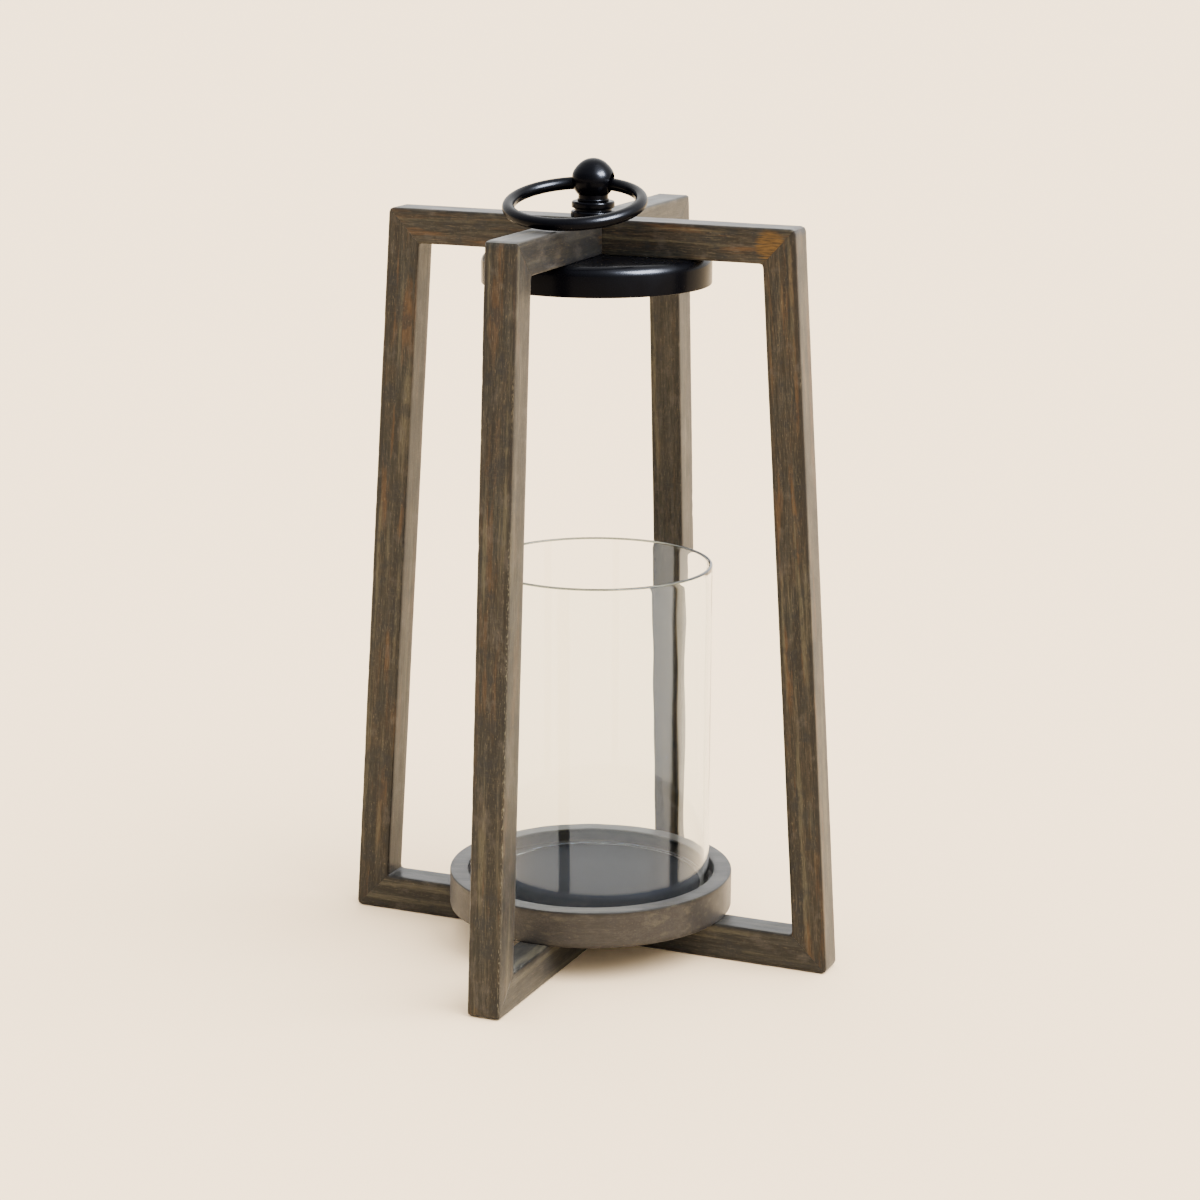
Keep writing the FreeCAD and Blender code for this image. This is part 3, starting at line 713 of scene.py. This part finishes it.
def make_tray():
    """A dish turned from one board, its grain straight across it. Its recess is left true."""
    low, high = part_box("tray")
    corners = [
        (0, low.z),
        (TRAY_RADIUS, low.z, TRAY_EASE),
        (TRAY_RADIUS, high.z, TRAY_EASE),
        (RECESS_RADIUS, high.z, TRAY_EASE),
        (RECESS_RADIUS, RECESS_FLOOR, RECESS_FILLET),
        (0, RECESS_FLOOR),
    ]
    bm = bmesh.new()
    draw_half_section(bm, corners, closed=False)
    for line in [edge for edge in bm.edges if edge.calc_length() > TRAY_CUT]:
        bmesh.ops.subdivide_edges(bm, edges=[line], cuts=int(line.calc_length() / TRAY_CUT))
    spin_round(bm, TRAY_STEPS)
    layers = new_wood_layers(bm)
    along = Vector((math.cos(TRAY_GRAIN_HEADING), math.sin(TRAY_GRAIN_HEADING), 0))
    across = Vector((-along.y, along.x, 0))
    bm.normal_update()
    for vert in bm.verts:
        place = vert.co
        radius = place.xy.length
        rim = abs(radius - TRAY_RADIUS) + min(abs(place.z - high.z), abs(place.z - low.z))
        mouth = abs(radius - RECESS_RADIUS) + abs(place.z - high.z)
        spot = Vector((place.dot(along), place.dot(across), place.z)) + TRAY_BOARD
        vert[layers["grain"]] = spot
        vert[layers["arris"]] = min(rim, mouth) / mm(1)
        vert[layers["tone"]] = TRAY_TONE
        if radius > RECESS_RADIUS + mm(0.2):
            vert.co += vert.normal * TRAY_UNEVENNESS * noise_at(spot, TRAY_WAVE)
    finish_piece(bm, "tray", "lantern", STAINED_HARDWOOD)


def make_candle_plate():
    low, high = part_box("candle_plate")
    radius = (high.x - low.x) / 2
    bm = turned([(0, low.z), (radius, low.z, mm(0.3)), (radius, high.z, mm(0.4)), (0, high.z)], 160, False)
    move_over(bm, "candle_plate")
    finish_piece(bm, "candle_plate", "lantern", PLATE_ENAMEL)


GLASS_WALL = mm(2.5)
GLASS_EASE = mm(1.15)
GLASS_WAVE = mm(0.05)
GLASS_WAVE_WIDTH = mm(12)
GLASS_WAVE_LENGTH = mm(30)
GLASS_RINGS = 60


def make_glass():
    """A drawn tube with fire-polished ends. Its inner wall waves a little, as drawn glass does."""
    low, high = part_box("glass_cylinder")
    outside = (high.x - low.x) / 2
    inside = outside - GLASS_WALL
    corners = [
        (inside, low.z, GLASS_EASE),
        (outside, low.z, GLASS_EASE),
        (outside, high.z, GLASS_EASE),
        (inside, high.z, GLASS_EASE),
    ]
    bm = bmesh.new()
    draw_half_section(bm, corners)
    for wall in [edge for edge in bm.edges if edge.calc_length() > (high.z - low.z) / 2]:
        bmesh.ops.subdivide_edges(bm, edges=[wall], cuts=GLASS_RINGS)
    spin_round(bm, 160)
    for vert in bm.verts:
        if vert.co.xy.length < inside + GLASS_WAVE:
            outward = Vector((vert.co.x, vert.co.y, 0)).normalized()
            around = vert.co.xy / GLASS_WAVE_WIDTH
            vert.co += outward * GLASS_WAVE * noise.noise((*around, vert.co.z / GLASS_WAVE_LENGTH))
    # The top rim's faces take the second material, darkened as painted shade.
    for face in bm.faces:
        if face.calc_center_median().z > high.z - GLASS_EASE:
            face.material_index = 1
    move_over(bm, "glass_cylinder")
    piece = finish_piece(bm, "glass_cylinder", "glass", CLEAR_GLASS)
    piece.data.materials.append(GLASS_RIM_PAINTED_SHADE)


make_tray()
make_candle_plate()
make_glass()


# The heat shield and its fixings

SHEET = mm(1.2)
SHOULDER = mm(6)
SHIELD_HOLE = mm(5.5)
SHIELD_LIP = mm(0.5)


def make_heat_shield():
    """A cap pressed from sheet, with a rounded shoulder and an eased mouth."""
    low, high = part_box("heat_shield")
    outside = (high.x - low.x) / 2
    corners = [
        (SHIELD_HOLE, high.z),
        (outside, high.z, SHOULDER),
        (outside, low.z, SHIELD_LIP),
        (outside - SHEET, low.z, SHIELD_LIP),
        (outside - SHEET, high.z - SHEET, SHOULDER - SHEET),
        (SHIELD_HOLE, high.z - SHEET),
    ]
    bm = bmesh.new()
    draw_half_section(bm, corners)
    spin_round(bm, 192)
    move_over(bm, "heat_shield")
    return finish_piece(bm, "heat_shield", "lantern", BLACK_ENAMEL)


THREAD_DEPTH = mm(0.55)
THREAD_STEPS = 24
THREAD_HALF_WIDTH = 0.45
STUD_PITCH = mm(1)
STUD_EASE = mm(0.4)
WASHER_BORE = mm(3.2)
WASHER_EASE = mm(0.25)
NUT_BORE = mm(3.05)
NUT_HALF_FLATS = mm(5)
NUT_CHAMFER_FROM = NUT_HALF_FLATS * 0.99
NUT_CHAMFER_SLOPE = 0.55


def add_thread(bm, radius, pitch, low, high):
    """A raised helical thread on a rod, of a triangular section."""
    turns = (high - low) / pitch - 1
    root = radius - THREAD_DEPTH
    half = pitch * THREAD_HALF_WIDTH
    section = ((root, 0, low), (radius, 0, low + half), (root, 0, low + 2 * half))
    start = bm.faces.new([bm.verts.new(point) for point in section])
    bmesh.ops.spin(
        bm,
        geom=[start],
        cent=(0, 0, 0),
        axis=(0, 0, 1),
        dvec=(0, 0, pitch / THREAD_STEPS),
        angle=2 * math.pi * turns,
        steps=round(turns * THREAD_STEPS),
        use_merge=False,
        use_duplicate=False,
    )


def make_threaded_rod():
    low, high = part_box("threaded_rod")
    radius = (high.x - low.x) / 2
    root = radius - THREAD_DEPTH
    corners = [(0, low.z), (root, low.z, STUD_EASE), (root, high.z, STUD_EASE), (0, high.z)]
    bm = turned(corners, 48, False)
    add_thread(bm, radius, STUD_PITCH, low.z + STUD_EASE, high.z - STUD_EASE)
    bmesh.ops.recalc_face_normals(bm, faces=bm.faces[:])
    finish_piece(bm, "threaded_rod", "lantern", ZINC_STEEL)


def make_washer():
    low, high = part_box("shield_washer")
    outside = (high.x - low.x) / 2
    corners = [
        (WASHER_BORE, low.z, WASHER_EASE),
        (outside, low.z, WASHER_EASE),
        (outside, high.z, WASHER_EASE),
        (WASHER_BORE, high.z, WASHER_EASE),
    ]
    finish_piece(turned(corners, 96), "shield_washer", "lantern", ZINC_STEEL)


def make_nut():
    """A plain hexagon nut, with its corners chamfered top and bottom."""
    low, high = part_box("shield_nut")
    bm = bmesh.new()
    bmesh.ops.create_circle(bm, cap_ends=False, radius=(high.x - low.x) / 2, segments=6)
    outside = bm.edges[:]
    bore = bmesh.ops.create_circle(bm, cap_ends=False, radius=NUT_BORE, segments=48)["verts"]
    inside = list({edge for vert in bore for edge in vert.link_edges})
    bmesh.ops.subdivide_edges(bm, edges=outside, cuts=7)
    outside = [edge for edge in bm.edges if edge not in inside]
    bmesh.ops.bridge_loops(bm, edges=outside + inside)
    move(bm, Matrix.Translation((0, 0, low.z)))
    raised = bmesh.ops.extrude_face_region(bm, geom=bm.faces[:], use_keep_orig=True)["geom"]
    move(bm, Matrix.Translation((0, 0, high.z - low.z)), verts_of(raised))
    bmesh.ops.recalc_face_normals(bm, faces=bm.faces[:])
    for vert in bm.verts:
        beyond = vert.co.xy.length - NUT_CHAMFER_FROM
        if beyond > 0:
            above = vert.co.z - low.z
            below = high.z - vert.co.z
            inward = 1 if above < below else -1
            vert.co.z += inward * (beyond * NUT_CHAMFER_SLOPE - min(above, below))
    finish_piece(bm, "shield_nut", "lantern", ZINC_STEEL)


ENAMELLED = [make_heat_shield()]
make_threaded_rod()
make_washer()
make_nut()


# The finial and its ring

EDGE = mm(1.2)
FLANGE_HOLE = mm(3.2)
FLANGE_STEP = mm(11.5)
FLANGE_LEDGE = mm(3.9)
BORE = mm(3.05)


def make_flange():
    low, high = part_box("finial_base_flange")
    rim = (high.x - low.x) / 2
    ledge = low.z + FLANGE_LEDGE
    corners = [
        (FLANGE_HOLE, low.z),
        (rim, low.z, mm(0.3)),
        (rim, ledge, EDGE),
        (FLANGE_STEP, ledge, mm(0.25)),
        (FLANGE_STEP, high.z, mm(0.2)),
        (FLANGE_HOLE, high.z),
    ]
    return finish_piece(turned(corners, 144), "finial_base_flange", "lantern", BLACK_ENAMEL)


def make_collar():
    low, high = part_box("finial_collar")
    rim = (high.x - low.x) / 2
    corners = [(BORE, low.z), (rim, low.z, EDGE), (rim, high.z, EDGE), (BORE, high.z)]
    return finish_piece(turned(corners, 144), "finial_collar", "lantern", BLACK_ENAMEL)


HINGE = next(joint for joint in frame["record"]["behaviour"]["joints"] if joint["name"] == "ring_swing")
RING_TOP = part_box("carry_ring")[1].z
RING_RADIUS = mm(40.5)
BALL_RADIUS = mm(13.3)
CROWN_RADIUS = mm(12.4)
NECK_RADIUS = mm(9.25)
BEAD_RADIUS = mm(9.9)
BEAD_HEIGHT = mm(1.5)
BORE_DEPTH = mm(5.7)
SHOULDER_EASE = mm(2.4)
SHOULDER_RUN = 12
HOLE_CLEARANCE = mm(0.4)
HOLE_STATIONS = 24
MOUTH_ANGLE = math.radians(40)
ABOVE_BORE = mm(6.5)


def arc(centre, radius, start, end, count):
    """Points on an arc in the XZ plane, with angles in degrees from +X."""
    angles = [math.radians(start + (end - start) * i / count) for i in range(count + 1)]
    return [(centre[0] + radius * math.cos(a), centre[1] + radius * math.sin(a)) for a in angles]


BOOLEAN_WELD = mm(0.02)


def apply_boolean(bm, tool):
    """Cuts the tool out of the work, and returns the result as a new bmesh."""
    objects = []
    for number, part in enumerate((bm, tool)):
        mesh = bpy.data.meshes.new(f"boolean_{number}")
        part.to_mesh(mesh)
        part.free()
        objects.append(bpy.data.objects.new(f"boolean_{number}", mesh))
        bpy.context.scene.collection.objects.link(objects[-1])
    work, cutter = objects
    cut = work.modifiers.new("cut", "BOOLEAN")
    cut.operation = "DIFFERENCE"
    cut.solver = "EXACT"
    cut.object = cutter
    evaluated = work.evaluated_get(bpy.context.evaluated_depsgraph_get())
    result = bmesh.new()
    result.from_mesh(evaluated.to_mesh())
    evaluated.to_mesh_clear()
    for item in objects:
        mesh = item.data
        bpy.data.objects.remove(item)
        bpy.data.meshes.remove(mesh)
    bmesh.ops.remove_doubles(result, verts=result.verts[:], dist=BOOLEAN_WELD)
    return result


def ring_place():
    """Where the ring's rod passes through the ball, the rod's radius, and how far the ring leans
    down at rest. The place turns the ring's hinge, along X, to where it hangs."""
    axis = HINGE["axis"]
    heading = math.atan2(-axis[1], -axis[0])
    rod = RING_TOP - HINGE["pos_m"][2]
    drop = HINGE["pos_m"][2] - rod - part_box("carry_ring")[0].z
    tilt = math.asin(drop / (2 * RING_RADIUS))
    return Matrix.Translation(HINGE["pos_m"]) @ Matrix.Rotation(heading, 4, "Z"), rod, tilt


def make_ball():
    """Cast and turned: a bead, a short neck, and a ball that leans in at 45 degrees to a rounded
    crown. The cross hole flares to both sides by the ring's own curve."""
    low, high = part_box("finial_ball")
    foot = low.z
    centre = (0, foot + BALL_RADIUS)
    crown_height = high.z - centre[1]
    lean = crown_height + (math.sqrt(2) - 1) * CROWN_RADIUS
    shoulder = lean / 2 + math.sqrt(BALL_RADIUS ** 2 / 2 - lean ** 2 / 4)
    start = -math.degrees(math.acos(NECK_RADIUS / BALL_RADIUS))
    end = math.degrees(math.acos(shoulder / BALL_RADIUS)) - SHOULDER_RUN
    corners = [
        (0, foot + BORE_DEPTH),
        (BORE, foot + BORE_DEPTH),
        (BORE, foot),
        (BEAD_RADIUS, foot, mm(0.6)),
        (BEAD_RADIUS, foot + BEAD_HEIGHT, mm(0.7)),
        (NECK_RADIUS, foot + BEAD_HEIGHT, mm(0.2)),
        *arc(centre, BALL_RADIUS, start, end, 22),
        (shoulder, centre[1] + lean - shoulder, SHOULDER_EASE),
        *arc((0, high.z - CROWN_RADIUS), CROWN_RADIUS, 45, 90, 12),
    ]
    bm = turned(corners, 128, False)
    place, rod, _ = ring_place()
    flare = RING_RADIUS - rod - HOLE_CLEARANCE
    reach = BALL_RADIUS + mm(1)
    stations = [-reach + 2 * reach * i / HOLE_STATIONS for i in range(HOLE_STATIONS + 1)]
    hole = [(RING_RADIUS - math.sqrt(flare ** 2 - x ** 2), x) for x in stations]
    tool = turned([(0, -reach)] + hole + [(0, reach)], 96, False)
    move(tool, place @ Matrix.Rotation(math.pi / 2, 4, "Y"))
    bm = apply_boolean(bm, tool)
    mouths = [e for e in bm.edges if len(e.link_faces) == 2 and e.calc_face_angle() > MOUTH_ANGLE]
    mouths = [e for e in mouths if all(vert.co.z > foot + ABOVE_BORE for vert in e.verts)]
    bmesh.ops.bevel(
        bm,
        geom=mouths,
        offset=mm(0.3),
        offset_type="OFFSET",
        affect="EDGES",
        segments=2,
        profile=0.5,
        material=-1,
        clamp_overlap=True,
    )
    return finish_piece(bm, "finial_ball", "lantern", BLACK_ENAMEL)


def make_ring():
    """Bent from round rod and welded into a ring."""
    place, rod, tilt = ring_place()
    bm = bmesh.new()
    bmesh.ops.create_circle(bm, cap_ends=False, radius=rod, segments=40)
    move(bm, Matrix.Translation((RING_RADIUS, 0, 0)) @ Matrix.Rotation(math.pi / 2, 4, "X"))
    spin_round(bm, 200)
    move(bm, place @ Matrix.Rotation(tilt, 4, "X") @ Matrix.Translation((0, -RING_RADIUS, 0)))
    return finish_piece(bm, "carry_ring", "ring", BLACK_ENAMEL)


ENAMELLED += [make_flange(), make_collar(), make_ball(), make_ring()]


# Wood screws, and the dowels inside the mitres

HEAD_RADIUS = mm(4)
HEAD_HEIGHT = mm(2.6)
SHANK_RADIUS = mm(2)
SHANK_DEPTH = mm(0.5)
POINT_LENGTH = mm(4)
SCREW_PITCH = mm(1.8)
THREAD_FROM = mm(9)
RECESS_SIZE = (mm(4.4), mm(0.95), mm(3), 1)
RECESS_TAPER = (0.45, 0.45, 1, 1)


def screw_mesh(low, high):
    """A countersunk wood screw with a cross recess, its head down."""
    point = high - POINT_LENGTH
    root = SHANK_RADIUS - SHANK_DEPTH
    corners = [
        (0, low),
        (HEAD_RADIUS, low, mm(0.15)),
        (root, low + HEAD_HEIGHT),
        (root, point),
        (0, high),
    ]
    bm = turned(corners, 48, False)
    tool = bmesh.new()
    for turn in (0, 90):
        blade = bmesh.ops.create_cube(tool, size=1)["verts"]
        move(tool, Matrix.Diagonal(RECESS_SIZE), blade)
        move(tool, Matrix.Translation((0, 0, low)) @ Matrix.Rotation(math.radians(turn), 4, "Z"), blade)
        move(tool, Matrix.Diagonal(RECESS_TAPER), [vert for vert in blade if vert.co.z > low])
    bm = apply_boolean(bm, tool)
    add_thread(bm, SHANK_RADIUS, SCREW_PITCH, low + THREAD_FROM, point + mm(1))
    bmesh.ops.recalc_face_normals(bm, faces=bm.faces[:])
    return bm


def make_screws():
    """One up the middle into the tray, and four round it, a quarter turn apart."""
    low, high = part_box("lap_screw")
    finish_piece(screw_mesh(low.z, high.z), "lap_screw", "lantern", ZINC_STEEL)
    low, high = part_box("tray_screws")
    bm = screw_mesh(low.z, high.z)
    move(bm, Matrix.Translation((high.x - HEAD_RADIUS, 0, 0)))
    bmesh.ops.spin(
        bm,
        geom=bm.verts[:] + bm.edges[:] + bm.faces[:],
        cent=(0, 0, 0),
        axis=(0, 0, 1),
        dvec=(0, 0, 0),
        angle=math.radians(270),
        steps=3,
        use_merge=False,
        use_duplicate=True,
    )
    finish_piece(bm, "tray_screws", "lantern", ZINC_STEEL)


make_screws()
# The dowels keep their CAD shape.
for node in ("frame_a_mitre_dowels", "frame_b_mitre_dowels"):
    for material_slot in frame["nodes"][node].material_slots:
        material_slot.material = BEECH


# Floor, light and camera

FLOOR_RADIUS = 60
FLOOR_GAP = mm(0.3)


def make_floor():
    """A wide plain floor in matt warm white."""
    material, tree = new_material("matt_warm_white_paint")
    place = add(tree, "TexCoord", {}).outputs["Object"]
    cloud = add(tree, "TexNoise", {"Vector": place, "Scale": 1 / mm(1250), "Detail": 2})
    mix = {"Factor": cloud.outputs["Fac"], COLOUR_A: colour("#fee1b8"), COLOUR_B: colour("#fcdfb6")}
    paint = add(tree, "Mix", mix, data_type="RGBA")
    inputs = {"Base Color": paint.outputs[COLOUR_OUT], "Roughness": 0.9, "Specular IOR Level": 0.1}
    finish_material(tree, add(tree, "BsdfPrincipled", inputs))
    bm = bmesh.new()
    bmesh.ops.create_circle(bm, cap_ends=True, radius=FLOOR_RADIUS, segments=64)
    move(bm, Matrix.Translation((0, 0, -FLOOR_GAP)))
    mesh = bpy.data.meshes.new("floor")
    bm.to_mesh(mesh)
    bm.free()
    mesh.materials.append(material)
    floor = bpy.data.objects.new("floor", mesh)
    bpy.context.scene.collection.objects.link(floor)


CAMERA_HEADING = 0.402
CAMERA_PITCH = 0.2421
CAMERA_ROLL = 0.0044
CAMERA_PLACE = (0.76098, -1.77632, 0.70227)
CAMERA_LENS = 93.5


def make_camera():
    camera = bpy.data.objects.new("camera", bpy.data.cameras.new("camera"))
    bpy.context.scene.collection.objects.link(camera)
    camera.data.lens = CAMERA_LENS
    camera.data.sensor_width = 36
    camera.data.clip_end = 200
    turned_to = Matrix.Rotation(CAMERA_HEADING, 4, "Z") @ Matrix.Rotation(math.pi / 2 - CAMERA_PITCH, 4, "X")
    camera.matrix_world = Matrix.Translation(CAMERA_PLACE) @ turned_to @ Matrix.Rotation(CAMERA_ROLL, 4, "Z")
    bpy.context.scene.camera = camera


def away_from_lantern(heading, elevation):
    """A direction in degrees, its heading counted from the camera's right."""
    around = math.radians(heading) + CAMERA_HEADING
    up = math.radians(elevation)
    return Vector((math.cos(around) * math.cos(up), math.sin(around) * math.cos(up), math.sin(up)))


def hang_lamp(light, away):
    """Hangs a lamp that shines back along a direction."""
    lamp = bpy.data.objects.new(light.name, light)
    bpy.context.scene.collection.objects.link(lamp)
    lamp.rotation_euler = away.to_track_quat("Z", "Y").to_euler()
    return lamp


def make_softbox(name, heading, elevation, distance, size, brightness):
    """A square softbox that points at the lantern and shows only as a shine on gloss. Its
    brightness is its radiance."""
    light = bpy.data.lights.new(name, "AREA")
    light.size = size
    light.energy = brightness * math.pi * size ** 2
    away = away_from_lantern(heading, elevation)
    lamp = hang_lamp(light, away)
    lamp.location = Vector((0, 0, TOP / 2)) + away * distance
    lamp.visible_diffuse = False
    lamp.visible_camera = False
    return lamp


def light_only(lamp, pieces):
    """Lets a lamp shine on these pieces and on nothing else."""
    group = bpy.data.collections.new("lit_by_" + lamp.name)
    for piece in pieces:
        group.objects.link(piece)
    lamp.light_linking.receiver_collection = group


SUN_STRENGTH = 4.7
SUN_ANGLE = 50
SUN_HEADING = -30
SUN_ELEVATION = 54
WINDOW = {"heading": -37, "elevation": 39, "distance": 2.4, "size": 1.1, "brightness": 620}


def make_light():
    """A broad soft sun from the front right, and a window that only the enamel mirrors."""
    sun = bpy.data.lights.new("sky_panel", "SUN")
    sun.energy = SUN_STRENGTH
    sun.angle = math.radians(SUN_ANGLE)
    hang_lamp(sun, away_from_lantern(SUN_HEADING, SUN_ELEVATION))
    light_only(make_softbox("window", **WINDOW), ENAMELLED)
    make_studio_walls()


WALL_COLOUR = "#fbfaf8"
WALL_STRENGTH = 4.0
LEAST_SHARE = 0.12
SIDEWAYS = 0.5
BRIGHT_HEADING = 40


def make_studio_walls():
    """White all round, brightest overhead, and brighter at the back right than at the front left."""
    world = bpy.data.worlds.new("studio")
    world.use_nodes = True
    tree = world.node_tree
    tree.nodes.clear()
    around = CAMERA_HEADING + math.radians(BRIGHT_HEADING)
    brightest = (SIDEWAYS * math.cos(around), SIDEWAYS * math.sin(around), 1)
    direction = add(tree, "TexCoord", {}).outputs["Generated"]
    towards = add(tree, "VectorMath", {0: direction, 1: brightest}, operation="DOT_PRODUCT").outputs["Value"]
    inputs = {
        "Value": towards,
        "From Min": -SIDEWAYS,
        "From Max": 1,
        "To Min": WALL_STRENGTH * LEAST_SHARE,
        "To Max": WALL_STRENGTH,
    }
    strength = add(tree, "MapRange", inputs).outputs["Result"]
    walls = add(tree, "Background", {"Color": colour(WALL_COLOUR), "Strength": strength})
    add(tree, "OutputWorld", {"Surface": walls.outputs["Background"]})
    bpy.context.scene.world = world


make_floor()
make_light()
make_camera()
